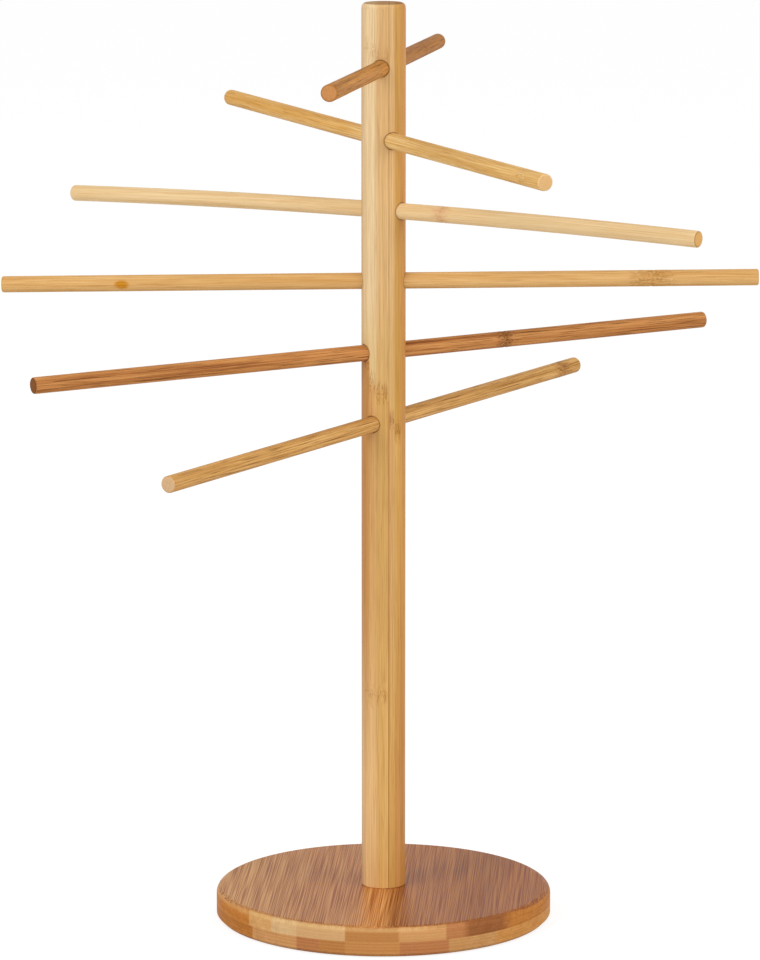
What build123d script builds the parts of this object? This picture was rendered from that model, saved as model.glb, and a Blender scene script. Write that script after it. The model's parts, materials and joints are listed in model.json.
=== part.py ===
from build123d import *
from math import cos, radians, sin
import os

# A free-standing drying rack in turned bamboo. One round post stands on a round base, and six rods
# are pushed right through it, each a step lower and a step further round than the rod above, so
# that their twelve arms fan out evenly. Noodles hang over the arms.
# Millimetres, +Z up. The origin lies on the table under the post's axis. A heading is an angle
# about +Z from +X, and +Y points away from whoever stands in front of the rack.

# Base: a disc turned from two glued layers of strips
BASE_DIAMETER = 180.0
BASE_THICKNESS = 16.0
BASE_TOP_ROUND = 4.0
BASE_BOTTOM_EASE = 1.8

# Post
POST_DIAMETER = 23.4
POST_LENGTH = 475.0
POST_TOP_EASE = 2.8
POST_FOOT_EASE = 0.4

# Rods
ROD_COUNT = 6
ROD_LENGTH = 400.0
ROD_DIAMETER = 8.8
ROD_END_EASE = 0.6
ROD_SLIDING_GAP = 0.15
ROD_SPACING = 37.6
TOP_ROD_DROP = 34.0

# The fan: where the top rod's front arm would point, and the turn from each rod to the next
FIRST_HEADING_DEGREES = -92.5
ROD_TURN_DEGREES = 30.0

# How each rod sits, from the top one down. Degrees off the even fan, degrees that the arm at the
# rod's heading rises, and how far the rod is pushed along its heading and how far it has warped
# into an arch, both as shares of half a rod.
HEADING_ERRORS_DEGREES = (-5.8, -3.1, -2.1, 0.0, 0.1, -0.1)
TILTS_DEGREES = (1.5, -0.7, 0.5, 0.9, 1.0, 1.1)
PUSH_SHARES = (-0.074, -0.040, -0.033, -0.012, -0.012, 0.002)
WARP_SHARES = (0.0, 0.0, 0.016, 0.0, 0.0, 0.0)

# Wide-headed screw that pulls the post down on the base, from below
SCREW_DIAMETER = 6.0
SCREW_LENGTH = 25.0
SCREW_TIP_EASE = 0.8
SCREW_HEAD_DIAMETER = 17.0
SCREW_HEAD_HEIGHT = 2.6
SCREW_KEY_WIDTH = 4.0
SCREW_KEY_DEPTH = 2.0
SCREW_HOLE_GAP = 0.25

# Counterbore that hides the screw's head
COUNTERBORE_GAP = 1.0
COUNTERBORE_DEPTH = 5.5

# Threaded insert in the post's foot
INSERT_DIAMETER = 10.0
INSERT_LENGTH = 13.0
INSERT_FLANGE_DIAMETER = 13.0
INSERT_FLANGE_THICKNESS = 1.2
INSERT_SEAT_GAP = 0.05
INSERT_HOLE_SPARE = 3.0
THREAD_GAP = 0.05

# Anti-slip pads let into the base's underside, and a wider one that covers the screw
PAD_COUNT = 4
PAD_DIAMETER = 12.0
PAD_THICKNESS = 1.5
PAD_STAND_OUT = 0.5
PAD_SEAT_GAP = 0.2
PAD_EDGE_DISTANCE = 18.0
FIRST_PAD_HEADING_DEGREES = 45.0
COVER_PAD_LEDGE = 3.0

# How far a cutting tool runs past the surface that it leaves
OVERRUN = 5.0

# Levels and radii that follow from the sizes above
base_bottom = PAD_STAND_OUT
base_top = base_bottom + BASE_THICKNESS
post_top = base_top + POST_LENGTH
post_radius = POST_DIAMETER / 2
rod_half = ROD_LENGTH / 2
rod_radius = ROD_DIAMETER / 2
bore_radius = rod_radius + ROD_SLIDING_GAP
screw_radius = SCREW_DIAMETER / 2
counterbore_radius = SCREW_HEAD_DIAMETER / 2 + COUNTERBORE_GAP
counterbore_top = base_bottom + COUNTERBORE_DEPTH
pad_radius = PAD_DIAMETER / 2
cover_pad_radius = counterbore_radius + COVER_PAD_LEDGE
pad_circle_radius = BASE_DIAMETER / 2 - PAD_EDGE_DISTANCE

ON_ITS_FOOT = (Align.CENTER, Align.CENTER, Align.MIN)


def upright(radius, bottom, top):
    """A round bar about the post's axis, between two levels."""
    return Pos(0, 0, bottom) * Cylinder(radius, top - bottom, align=ON_ITS_FOOT)


def rod_frame(index):
    """Where a rod crosses the post's axis, with its own X along the rod and its own Z upward."""
    height = post_top - TOP_ROD_DROP - index * ROD_SPACING
    heading = FIRST_HEADING_DEGREES + index * ROD_TURN_DEGREES + HEADING_ERRORS_DEGREES[index]
    return Pos(0, 0, height) * Rot(0, 0, heading) * Rot(0, -TILTS_DEGREES[index], 0)


def rod_line(index, start, end):
    """The middle line of a rod between two distances from the post's axis, level there."""
    warp = WARP_SHARES[index] * rod_half
    if not warp:
        return Line((start, 0, 0), (end, 0, 0))
    bend_radius = rod_half**2 / (2 * warp)
    middle = (start + end) / 2
    points = [
        (bend_radius * sin(s / bend_radius), 0, bend_radius * (cos(s / bend_radius) - 1))
        for s in (start, middle, end)
    ]
    return ThreePointArc(*points)


def square_to(line, end, facing=1):
    """A plane square to one end of a line. X runs level across, so that round faces' seams meet."""
    return Plane(line @ end, x_dir=(0, 1, 0), z_dir=facing * (line % end))


def bar_along(line, radius):
    """A round bar along a line or an arc, with square ends."""
    return sweep(square_to(line, 0) * Circle(radius), path=line)


def make_rod(index):
    """One rod with eased ends, pushed along its heading by its own share of half its length."""
    push = PUSH_SHARES[index] * rod_half
    reach = rod_half - ROD_END_EASE
    line = rod_line(index, push - reach, push + reach)
    rod = bar_along(line, rod_radius)
    tip = Cone(rod_radius, rod_radius - ROD_END_EASE, ROD_END_EASE, align=ON_ITS_FOOT)
    rod += square_to(line, 0, facing=-1) * tip
    rod += square_to(line, 1) * tip
    return rod_frame(index) * rod


def make_post():
    """The post, with a bore for each rod and a stepped hole for the insert in its foot."""
    post = upright(post_radius, base_top, post_top)
    post = chamfer(post.edges().group_by(Axis.Z)[-1], POST_TOP_EASE)
    post = chamfer(post.edges().group_by(Axis.Z)[0], POST_FOOT_EASE)
    reach = post_radius + OVERRUN
    for index in range(ROD_COUNT):
        post -= rod_frame(index) * bar_along(rod_line(index, -reach, reach), bore_radius)
    hole_top = base_top + INSERT_LENGTH + INSERT_HOLE_SPARE
    post -= upright(INSERT_DIAMETER / 2 + INSERT_SEAT_GAP, base_top - OVERRUN, hole_top)
    flange_radius = INSERT_FLANGE_DIAMETER / 2 + INSERT_SEAT_GAP
    post -= upright(flange_radius, base_top - OVERRUN, base_top + INSERT_FLANGE_THICKNESS)
    return post


def pad_places():
    """The pads' centres, evenly round the underside, on the table's level."""
    for index in range(PAD_COUNT):
        heading = radians(FIRST_PAD_HEADING_DEGREES + index * 360 / PAD_COUNT)
        yield Pos(pad_circle_radius * cos(heading), pad_circle_radius * sin(heading), 0)


def make_base():
    """The base, round-edged on top, with the screw's counterbored hole and the pads' seats."""
    base = upright(BASE_DIAMETER / 2, base_bottom, base_top)
    base = fillet(base.edges().group_by(Axis.Z)[-1], BASE_TOP_ROUND)
    base = chamfer(base.edges().group_by(Axis.Z)[0], BASE_BOTTOM_EASE)
    base -= upright(screw_radius + SCREW_HOLE_GAP, -OVERRUN, base_top + OVERRUN)
    base -= upright(counterbore_radius, -OVERRUN, counterbore_top)
    base -= upright(cover_pad_radius + PAD_SEAT_GAP, -OVERRUN, PAD_THICKNESS)
    for place in pad_places():
        base -= place * upright(pad_radius + PAD_SEAT_GAP, -OVERRUN, PAD_THICKNESS)
    return base


def make_screw():
    """A screw with a wide flat head and a hexagon socket, its head down, its tip in the insert."""
    head_bottom = counterbore_top - SCREW_HEAD_HEIGHT
    shank = upright(screw_radius, counterbore_top, counterbore_top + SCREW_LENGTH)
    shank = chamfer(shank.edges().group_by(Axis.Z)[-1], SCREW_TIP_EASE)
    head = upright(SCREW_HEAD_DIAMETER / 2, head_bottom, counterbore_top)
    key = RegularPolygon(SCREW_KEY_WIDTH / 2, 6, major_radius=False)
    socket = extrude(Pos(0, 0, head_bottom) * key, SCREW_KEY_DEPTH)
    return head + shank - socket


def make_insert():
    """A flanged sleeve driven into the post's foot and threaded for the screw."""
    flange_radius = INSERT_FLANGE_DIAMETER / 2
    insert = upright(flange_radius, base_top, base_top + INSERT_FLANGE_THICKNESS)
    insert += upright(INSERT_DIAMETER / 2, base_top, base_top + INSERT_LENGTH)
    return insert - upright(screw_radius + THREAD_GAP, 0, post_top)


def build():
    """Every piece by its name."""
    pieces = {"base": make_base(), "post": make_post()}
    for index in range(ROD_COUNT):
        pieces[f"rod_{index + 1}"] = make_rod(index)
    pieces["base_screw"] = make_screw()
    pieces["post_insert"] = make_insert()
    for number, place in enumerate(pad_places(), 1):
        pieces[f"anti_slip_pad_{number}"] = place * upright(pad_radius, 0, PAD_THICKNESS)
    pieces["screw_cover_pad"] = upright(cover_pad_radius, 0, PAD_THICKNESS)
    return pieces


os.makedirs("parts", exist_ok=True)
for name, piece in build().items():
    export_step(piece, f"parts/{name}.step")
    box = piece.bounding_box()
    print(name, "volume", round(piece.volume), "from", box.min, "to", box.max)
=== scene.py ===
# %% [markdown]
# # A bamboo rack for drying pasta
# A round post stands on a heavy round base, and six rods are pushed right through the post, each a step
# lower and a step further round than the one above. The construction comes finished, with every size,
# bore and joint settled. This file gives it its looks: the rods as they come off the lathe, with their
# knuckles and end grain, and a finish for the post, the base and the fittings underneath. Everything is
# in metres, with Z up, and the origin lies on the table under the post's axis. Small sizes are easier to
# read in millimetres, so MM and mm turn those into metres.

# %% Load the construction
import json
from math import asin, cos, exp, pi, radians, sin, sqrt

import bmesh
import bpy
from mathutils import Matrix, Vector, noise


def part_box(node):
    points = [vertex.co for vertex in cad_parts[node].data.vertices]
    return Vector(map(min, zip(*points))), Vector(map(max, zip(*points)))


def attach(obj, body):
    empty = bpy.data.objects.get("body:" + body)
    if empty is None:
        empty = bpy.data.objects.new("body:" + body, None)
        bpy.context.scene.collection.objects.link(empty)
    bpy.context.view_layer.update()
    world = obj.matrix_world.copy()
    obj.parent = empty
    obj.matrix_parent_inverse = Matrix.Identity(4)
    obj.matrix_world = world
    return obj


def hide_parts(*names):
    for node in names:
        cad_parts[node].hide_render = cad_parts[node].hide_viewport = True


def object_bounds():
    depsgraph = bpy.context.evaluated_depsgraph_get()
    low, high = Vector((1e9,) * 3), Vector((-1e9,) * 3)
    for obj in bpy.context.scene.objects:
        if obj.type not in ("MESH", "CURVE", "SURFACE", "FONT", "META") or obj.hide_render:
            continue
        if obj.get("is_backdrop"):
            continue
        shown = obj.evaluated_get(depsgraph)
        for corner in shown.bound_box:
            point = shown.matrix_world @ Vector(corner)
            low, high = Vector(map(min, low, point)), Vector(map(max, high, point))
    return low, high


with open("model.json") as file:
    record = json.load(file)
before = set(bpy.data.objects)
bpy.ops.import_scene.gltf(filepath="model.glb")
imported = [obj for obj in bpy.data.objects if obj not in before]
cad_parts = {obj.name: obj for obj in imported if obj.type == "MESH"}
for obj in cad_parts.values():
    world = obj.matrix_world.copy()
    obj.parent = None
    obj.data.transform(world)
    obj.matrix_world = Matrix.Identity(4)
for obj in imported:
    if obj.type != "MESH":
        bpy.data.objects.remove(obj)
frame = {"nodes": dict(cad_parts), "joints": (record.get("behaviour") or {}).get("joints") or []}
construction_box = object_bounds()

MM = 0.001


def mm(*lengths):
    """Lengths that are written in millimetres, in metres."""
    return tuple(length * MM for length in lengths)


def put_in_scene(name, data):
    """A new object of that name, linked to the scene."""
    thing = bpy.data.objects.new(name, data)
    bpy.context.scene.collection.objects.link(thing)
    return thing


# %% [markdown]
# ## Where we look from
# A product photographer stands well back with a long lens, so that the rods keep their true directions
# and nothing near the camera looks swollen. The camera stands 2.6 m off, a little above the rack, and
# looks down by about ten degrees. A short lens close by would show the same rack with bent proportions.

# %% Camera
CAMERA_DISTANCE = 2.6
CAMERA_HEIGHT = 0.70732
CAMERA_OFFSET = -0.001869
CAMERA_LOOKS_DOWN = radians(10.238)
LENS_MM = 186.29
SENSOR_MM = 36.0

lens = bpy.data.cameras.new("studio_camera")
lens.lens, lens.sensor_width = LENS_MM, SENSOR_MM
camera = put_in_scene("studio_camera", lens)
camera.location = (CAMERA_OFFSET, -CAMERA_DISTANCE, CAMERA_HEIGHT)
camera.rotation_euler = (pi / 2 - CAMERA_LOOKS_DOWN, 0, 0)
bpy.context.scene.camera = camera
bpy.context.scene.view_settings.view_transform = "Standard"
print("Camera distance in metres:", CAMERA_DISTANCE, "Lens in millimetres:", LENS_MM)

# %% [markdown]
# ## A small workshop for finishes
# A finish in Blender is a graph of nodes: some measure the surface, some make patterns, and one shader
# at the end answers the light. Colours are picked as on a screen and turned here into the straight light
# values that shaders count in. The numbers in the formula are those of the common screen standard, sRGB.

# %% Paint
def paint(code):
    """A colour written as on a paint chart, such as DBAA68, as the light values of a shader."""
    channels = [int(code[i : i + 2], 16) / 255 for i in (0, 2, 4)]
    return tuple(c / 12.92 if c < 0.04045 else ((c + 0.055) / 1.055) ** 2.4 for c in channels) + (1.0,)


print("A warm bamboo tone as light:", [round(c, 3) for c in paint("DDAD6E")])

# %% [markdown]
# Adding a node takes several lines by hand, so this little class does it in one. Each method adds a node
# and hands back its output, which makes a finish read like a recipe. The nodes could also be laid out by
# hand in the shader editor, but then six rods would mean six graphs to keep alike.

# %% Recipe for a finish
class Finish:
    """A finish under construction. Each method adds one node and hands back its output."""

    def __init__(self, name, holder=bpy.data.materials, shader="Principled BSDF"):
        self.material = holder.new(name)
        self.material.use_nodes = True
        self.nodes = self.material.node_tree.nodes
        self.links = self.material.node_tree.links
        self.shader = self.nodes[shader]

    def feed(self, socket, value):
        """Joins an output to a socket, or sets the socket to a plain value or the colour of a code."""
        if isinstance(value, bpy.types.NodeSocket):
            self.links.new(value, socket)
        else:
            socket.default_value = paint(value) if isinstance(value, str) else value

    def set(self, name, value):
        """Feeds one socket of the shader."""
        self.feed(self.shader.inputs[name], value)

    def node(self, kind, inputs, output=0, **settings):
        """Adds a node of a kind, feeds its inputs and changes its settings."""
        made = self.nodes.new("ShaderNode" + kind)
        for name, value in settings.items():
            setattr(made, name, value)
        for key, value in inputs.items():
            self.feed(made.inputs[key], value)
        return made.outputs[output]

    def place(self):
        """The point on the piece, in its own metres."""
        return self.node("TexCoord", {}, "Object")

    def facing(self):
        """The way the surface faces, in the piece's own directions."""
        return self.node("TexCoord", {}, "Normal")

    def parts(self, vector):
        """The three numbers of a vector."""
        split = self.node("SeparateXYZ", {0: vector}).node
        return split.outputs[0], split.outputs[1], split.outputs[2]

    def vector(self, x, y, z):
        """Three numbers made into a vector."""
        return self.node("CombineXYZ", {0: x, 1: y, 2: z})

    def vectors(self, how, a, b):
        """Two vectors, added, subtracted or multiplied."""
        return self.node("VectorMath", {0: a, 1: b}, operation=how)

    def length(self, vector):
        """How long a vector is."""
        return self.node("VectorMath", {0: vector}, "Value", operation="LENGTH")

    def maths(self, how, a, b=0.0, c=0.0):
        """A sum with up to three numbers."""
        return self.node("Math", {0: a, 1: b, 2: c}, operation=how)

    def scaled(self, a, b, c):
        """One number times another, with a third added."""
        return self.maths("MULTIPLY_ADD", a, b, c)

    def times(self, a, b):
        """One number times another."""
        return self.maths("MULTIPLY", a, b)

    def turned(self, vector, about_z):
        """The vector in directions that are turned about Z."""
        return self.node("VectorRotate", {"Vector": vector, "Angle": -about_z}, rotation_type="Z_AXIS")

    def counted(self, vector, size, seed):
        """The place, counted in patches of a size and moved on by a seed."""
        scaled = self.vectors("MULTIPLY", vector, tuple(1 / s for s in size))
        return self.vectors("ADD", scaled, (seed, -seed, 2 * seed))

    def grain(self, vector, size, detail=2.0, seed=0.0):
        """Soft random patches, as long and wide as size says, from 0 to 1."""
        inputs = {"Vector": self.counted(vector, size, seed), "Scale": 1.0, "Detail": detail}
        return self.node("TexNoise", inputs)

    def cells(self, vector, size, seed=0.0):
        """How far it is to the heart of the nearest of many crowded cells, as long and wide as size says."""
        inputs = {"Vector": self.counted(vector, size, seed), "Scale": 1.0}
        return self.node("TexVoronoi", inputs, "Distance")

    def step(self, value, start, end):
        """0 before start, 1 after end, and an easy slope between."""
        limits = {"Value": value, "From Min": start, "From Max": end}
        return self.node("MapRange", limits, interpolation_type="SMOOTHSTEP")

    def ramp(self, value, stops):
        """A row of colours, or of plain numbers as greys, along a value from 0 to 1."""
        colours = self.node("ValToRGB", {0: value})
        band = colours.node.color_ramp
        while len(band.elements) < len(stops):
            band.elements.new(0.5)
        for element, (position, tone) in zip(band.elements, stops):
            element.position = position
            element.color = paint(tone) if isinstance(tone, str) else (tone, tone, tone, 1.0)
        return colours

    def mixed(self, share, a, b, how="MIX"):
        """Colour a, with a share of colour b mixed into it."""
        made = self.nodes.new("ShaderNodeMix")
        made.data_type, made.blend_type = "RGBA", how
        for socket, value in ((0, share), (6, a), (7, b)):
            self.feed(made.inputs[socket], value)
        return made.outputs[2]

    def relief(self, height, depth):
        """Raises and lowers the look of the surface by a depth in metres."""
        return self.node("Bump", {"Height": height, "Distance": depth, "Strength": 1.0})


def dress(piece, finish):
    """Gives the whole piece one finish."""
    piece.data.materials.clear()
    piece.data.materials.append(finish.material)


print("The recipe has", len([step for step in vars(Finish) if step[0] != "_"]), "kinds of step")

# %% [markdown]
# ## What bamboo looks like
# Bamboo is a grass. Its wall is a pale pith shot through with tough strands that run dead straight from
# knuckle to knuckle, so the long faces show fine lines, some pale and some dark, and a cut end shows
# dots. Where a leaf once stood there is a knuckle: the strands swirl, the colour deepens or turns pink,
# and small dark curls gather. A picture of wood could be wrapped round each piece, but it would smear on
# the ends. A pattern that fills space, long along the strands and narrow across, gives lines on the
# faces and dots on the ends by itself.

# %% Bamboo tones
TONES = {
    "cream": "F2D6A8", "straw": "E3BC85", "honey": "E2B478", "gold": "E0AF71",
    "amber": "D8AB67", "fawn": "D8AA70", "mustard": "D2A259", "corn": "D9AA60",
    "biscuit": "D49C5B", "almond": "CF985E", "toast": "C68E56", "umber": "A06840",
    "tan": "D9A670", "dull_tan": "D0A06A", "pale_tan": "DEB684", "orange": "CE8A44",
    "ginger": "C4885A", "pale_gold": "F2C88E", "sand": "E8BB74", "dark_gold": "D09654",
    "russet": "CA904B", "oat": "DCBA8C", "bark": "C28B58", "chaff": "E6C494",
    "caramel": "C48444", "seam": "CCA26C", "dark_seam": "BC8448",
}


def tones(*names):
    """The codes of some tones, in a row."""
    return [TONES[name] for name in names]


print("Bamboo tones:", len(TONES))

# %% [markdown]
# The strands are soft random noise that is stretched up to a hundredfold along the piece. Three sizes of it
# lie over one another: fine strands, hairs between them and broad bands where the culm grew denser. A
# fourth gives the thin dark streaks. Each is given by its length and its width, which were chosen until
# the lines looked like those of a dowel. Bundles are the dots of an end.

# %% Strands
STRAND = mm(60, 0.62)
HAIR = mm(18, 0.3)
BAND = mm(150, 2.6)
STREAK = mm(20, 0.42)
BUNDLE = mm(60, 0.62, 0.62)
STRAND_RELIEF = 0.035 * MM
LACQUER_ROUGHNESS = 0.3


def fibres(finish, place, length, width, detail, seed):
    """Random lines that run along the piece's own X."""
    return finish.grain(place, (length, width, width), detail, seed)


print("Strands are", round(STRAND[0] / STRAND[1]), "times as long as they are wide")

# %% [markdown]
# At a knuckle the strands of one length of the culm cross over into the next. Here the noise that bends
# them is added to the place itself, so every pattern that follows swirls together, and a thin wavy line
# marks where the skin between two chambers was. Drawn-on marks would lie over the strands instead.

# %% Knuckles
KNUCKLE_REACH = 7.5 * MM
KNUCKLE_EDGE = 5 * MM
FRAY = mm(9, 0.8)
LINE_WAVE = 2 * MM
LINE_WAVE_SIZE = mm(5, 3, 3)
LINE_BORDERS = mm(0.7, 0.2)
SWIRL = 6.5 * MM
SWIRL_SIZE = mm(4.6, 2.4, 2.4)
CURL = mm(14, 0.8)


def knuckle_marks(finish, place, knuckles, seed):
    """How much of a knuckle is here, how much of its thin line, and the place with the strands swirled."""
    along = finish.parts(place)[0]
    frayed = fibres(finish, place, *FRAY, 1.0, seed + 31)
    waved = finish.grain(place, LINE_WAVE_SIZE, 1.0, seed + 37)
    patch, line = 0.0, 0.0
    for where, share, reach in knuckles:
        away = finish.maths("ABSOLUTE", finish.maths("SUBTRACT", along, where))
        ragged = finish.scaled(frayed, FRAY[0], away)
        here = finish.step(ragged, reach + KNUCKLE_EDGE, 0.6 * reach)
        patch = finish.maths("MAXIMUM", patch, finish.times(here, share))
        straight = finish.maths("SUBTRACT", along, where + LINE_WAVE / 2)
        bent = finish.scaled(waved, LINE_WAVE, straight)
        thin = finish.step(finish.maths("ABSOLUTE", bent), *LINE_BORDERS)
        line = finish.maths("MAXIMUM", line, finish.times(thin, share))
    sideways = finish.grain(place, SWIRL_SIZE, 1.0, seed + 43)
    shift = finish.times(finish.maths("SUBTRACT", sideways, 0.5), SWIRL)
    shift = finish.times(shift, patch)
    return patch, line, finish.vectors("ADD", place, finish.vector(0.0, shift, shift))


print("A knuckle reaches", round(KNUCKLE_REACH / MM, 1), "mm either way")

# %% [markdown]
# The whole finish of solid bamboo takes its place, its colours and its knuckles from the piece. The ends
# are told from the long faces by the way that they face. Real rods are dipped in a thin satin lacquer, so
# the gloss is low and a little uneven, and the strands stand out by a few hundredths of a millimetre.

# %% Bamboo finish
FINE_SHARE = 0.4
HAIR_SHARE = 0.25
BROAD_SHARE = 0.35
STREAK_BORDERS = (0.56, 0.70)
CURL_BORDERS = (0.52, 0.60)
DOT_BORDERS = (0.36, 0.16)
RING_BORDERS = (0.98, 0.86)
KNUCKLE_TONE = 0.3
MARK_TONE = 0.7
LINE_TONE = 0.35
DOT_TONE = 0.5
MARK_DEPTH = 1.5
ROUGHER = 0.2


def bamboo(
    finish, place, facing_end, wood, knuckles, seed, tint, streaks, shine, ends=(0.74, 0.95), ring=None
):
    """Colour, gloss and relief of solid bamboo. Wood is dark, middle and pale strands, the end grain,
    the dark streaks and the knuckles. Each knuckle is a place along X, a strength and a reach. Ends says
    how far a surface has to face along X to be an end, and ring is the tone of an end's rounded edge."""
    dark, middle, pale, end, streak, knuckle = wood
    if knuckles:
        patch, line, place = knuckle_marks(finish, place, knuckles, seed)
    fine = fibres(finish, place, *STRAND, 2.0, seed)
    hair = fibres(finish, place, *HAIR, 1.0, seed + 3)
    broad = fibres(finish, place, *BAND, 2.0, seed + 7)
    thin = fibres(finish, place, *STREAK, 1.0, seed + 13)
    mixture = finish.scaled(fine, FINE_SHARE, finish.times(broad, BROAD_SHARE))
    mixture = finish.scaled(hair, HAIR_SHARE, mixture)
    colour = finish.ramp(mixture, [(0.39, dark), (0.5, middle), (0.61, pale)])
    streaky = finish.times(finish.step(thin, *STREAK_BORDERS), streaks)
    colour = finish.mixed(streaky, colour, streak)
    height = finish.maths("SUBTRACT", fine, streaky)
    if knuckles:
        curls = fibres(finish, place, *CURL, 1.0, seed + 19)
        curls = finish.times(finish.step(curls, *CURL_BORDERS), patch)
        colour = finish.mixed(finish.times(patch, KNUCKLE_TONE), colour, knuckle)
        marks = finish.maths("MAXIMUM", curls, finish.times(line, LINE_TONE))
        colour = finish.mixed(finish.times(marks, MARK_TONE), colour, streak)
        height = finish.maths("SUBTRACT", height, finish.times(marks, MARK_DEPTH))
    bundles = finish.cells(place, BUNDLE, seed)
    dots = finish.step(bundles, *DOT_BORDERS)
    end_colour = finish.mixed(finish.times(dots, DOT_TONE), end, streak)
    if ring is not None:
        end_colour = finish.mixed(finish.step(facing_end, *RING_BORDERS), end_colour, ring)
    is_end = finish.step(facing_end, *ends)
    colour = finish.mixed(is_end, colour, end_colour)
    if tint is not None:
        colour = finish.mixed(1.0, colour, tint, "MULTIPLY")
    finish.set("Base Color", colour)
    rough = finish.scaled(fine, ROUGHER, LACQUER_ROUGHNESS)
    finish.set("Roughness", finish.scaled(is_end, ROUGHER, rough))
    finish.set("Specular IOR Level", shine)
    finish.set("Normal", finish.relief(height, STRAND_RELIEF))


print("Strands stand out by", round(STRAND_RELIEF / MM, 3), "mm")

# %% [markdown]
# ## The rods
# Each rod is split from a thick culm and turned to a dowel, so it keeps a trace of its knuckles: a shallow
# groove in a low swelling. The ends are sanded round. The construction already holds plain
# rods, true in size and place, but they have no knuckles, so each is made afresh here as a turned mesh
# that stays just inside the plain one. Where a rod stands, and how far its arch bends, is read from the
# plain rod and its joint, so nothing is measured twice. The third rod has dried into a shallow arch.

# %% Where a rod lies
def rod_line(name):
    """The rod's length, its radius, the radius that it is bent to or None, and its middle's matrix."""
    joint = next(j for j in frame["joints"] if j["child"] == name)
    corners = {tuple(round(x, 6) for x in v.co) for v in frame["nodes"][name].data.vertices}
    corners = [Vector(c) for c in corners]
    up = Vector((0, 0, 1))
    if joint["type"] == "hinge":
        centre, across = Vector(joint["pos_m"]), Vector(joint["axis"])
        heading = across.cross(up)
        arms = [(c - centre) - across * across.dot(c - centre) for c in corners]
        turns = [asin(arm.dot(heading) / arm.length) for arm in arms]
        bend = (min(arm.length for arm in arms) + max(arm.length for arm in arms)) / 2
        length = bend * (max(turns) - min(turns))
        middle = (max(turns) + min(turns)) / 2
        along = heading * cos(middle) - up * sin(middle)
        place = centre + bend * (heading * sin(middle) + up * cos(middle))
    else:
        along, bend = Vector(joint["axis"]).normalized(), None
        reach = [c.dot(along) for c in corners]
        length = max(reach) - min(reach)
        beside = sum((c - along * r for c, r in zip(corners, reach)), Vector()) / len(corners)
        place = beside + along * (max(reach) + min(reach)) / 2
    across = up.cross(along).normalized()
    matrix = Matrix((along, across, along.cross(across))).transposed().to_4x4()
    matrix.translation = place
    local = [matrix.inverted() @ c for c in corners]
    radius = max(abs(c.y) for c in local)
    return length, radius, bend, matrix


for name in sorted(n for n in frame["nodes"] if n.startswith("rod_")):
    length, radius, bend, matrix = rod_line(name)
    middle = [round(v / MM, 1) for v in matrix.translation]
    print(name, "length", round(length / MM, 2), "radius", round(radius / MM, 2), "bent to", bend)
    print("    middle", middle)

# %% [markdown]
# A turned piece is a stack of rings joined by a skin. The rings lie closer together where the shape
# changes fast, at the rounded ends and the knuckles, and further apart along the plain stretches.

# %% Skin over rings
SHARP_FROM = 45


def skin(name, rings, hollow=False):
    """A closed mesh over rings of one count. The end rings are filled, or joined if it is hollow."""
    count = len(rings[0])
    points = [p for ring in rings for p in ring]
    faces = []
    for row in range(len(rings) - 1):
        for i in range(count):
            j = (i + 1) % count
            a, b = row * count, (row + 1) * count
            faces.append((a + i, a + j, b + j, b + i))
    last = (len(rings) - 1) * count
    if hollow:
        faces += [(last + i, last + (i + 1) % count, (i + 1) % count, i) for i in range(count)]
    else:
        faces.append(tuple(reversed(range(count))))
        faces.append(tuple(last + i for i in range(count)))
    mesh = bpy.data.meshes.new(name)
    mesh.from_pydata(points, [], faces)
    shell = bmesh.new()
    shell.from_mesh(mesh)
    bmesh.ops.recalc_face_normals(shell, faces=shell.faces)
    shell.to_mesh(mesh)
    shell.free()
    mesh.polygons.foreach_set("use_smooth", [True] * len(mesh.polygons))
    mesh.set_sharp_from_angle(angle=radians(SHARP_FROM))
    mesh.update()
    return mesh


print("Edges sharper than", SHARP_FROM, "degrees stay crisp")

# %% [markdown]
# A finished piece stands in for a plain one: it takes its place, moves with the same body and gets its
# finish. The plain one stays, hidden, and isn't changed.

# %% Pieces that stand in for plain ones
def add_piece(name, mesh, body, finish, stands_for, matrix=Matrix()):
    """Puts a mesh in the scene as a piece that takes a plain piece's place and moves with its body."""
    piece = put_in_scene(name, mesh)
    piece.matrix_world = matrix
    dress(piece, finish)
    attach(piece, body)
    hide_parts(stands_for)
    return piece


print("Plain pieces that can be replaced:", sorted(frame["nodes"]))

# %% [markdown]
# The rods come from different culms, so each has its own colour, from pale straw to toasted brown, and
# its own knuckle. The tones below are dark, middle and pale strands, the end grain, the dark streaks and
# the knuckle. After them stand the knuckle's place along the rod in millimetres, how strongly it shows, how
# many millimetres it reaches, and how strong the streaks are. On four rods the rounded edge of the ends is
# of another tone than the end itself. One half of the first two rods is a little darker than the other
# half, and the fourth rod has a scar where a side shoot grew.

# %% Looks of the six rods
ROD_LOOKS = {
    "rod_1": (("9C6632", "BA8041", "CE904C", "C88C54", "7C4620", "A86C3C"), -120, 0.4, 8, 0.55),
    "rod_2": (("CD9D56", "E1B26B", "EFCC90", "DEB27A", "B07C3A", "D8B07C"), 180, 0.5, 8, 0.5),
    "rod_3": (("DCB480", "E9C893", "F2D3A5", "D6A462", "CFA06C", "D48C6C"), 45, 1.0, 7, 0.3),
    "rod_4": (("CA9456", "D8A868", "E4B87C", "C98F4C", "A87434", "C08A4C"), 144, 1.0, 14, 0.4),
    "rod_5": (("9A5E33", "BE8048", "D6985C", "84532F", "5C3216", "5E3216"), 75, 1.0, 8, 0.75),
    "rod_6": (("B17D42", "CC9958", "E1B16F", "D6B086", "744420", "9A6030"), 181, 0.9, 10, 0.7),
}
END_RINGS = {"rod_1": "A87444", "rod_2": "E6C28E", "rod_3": "A27644", "rod_5": "70442A"}
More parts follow.
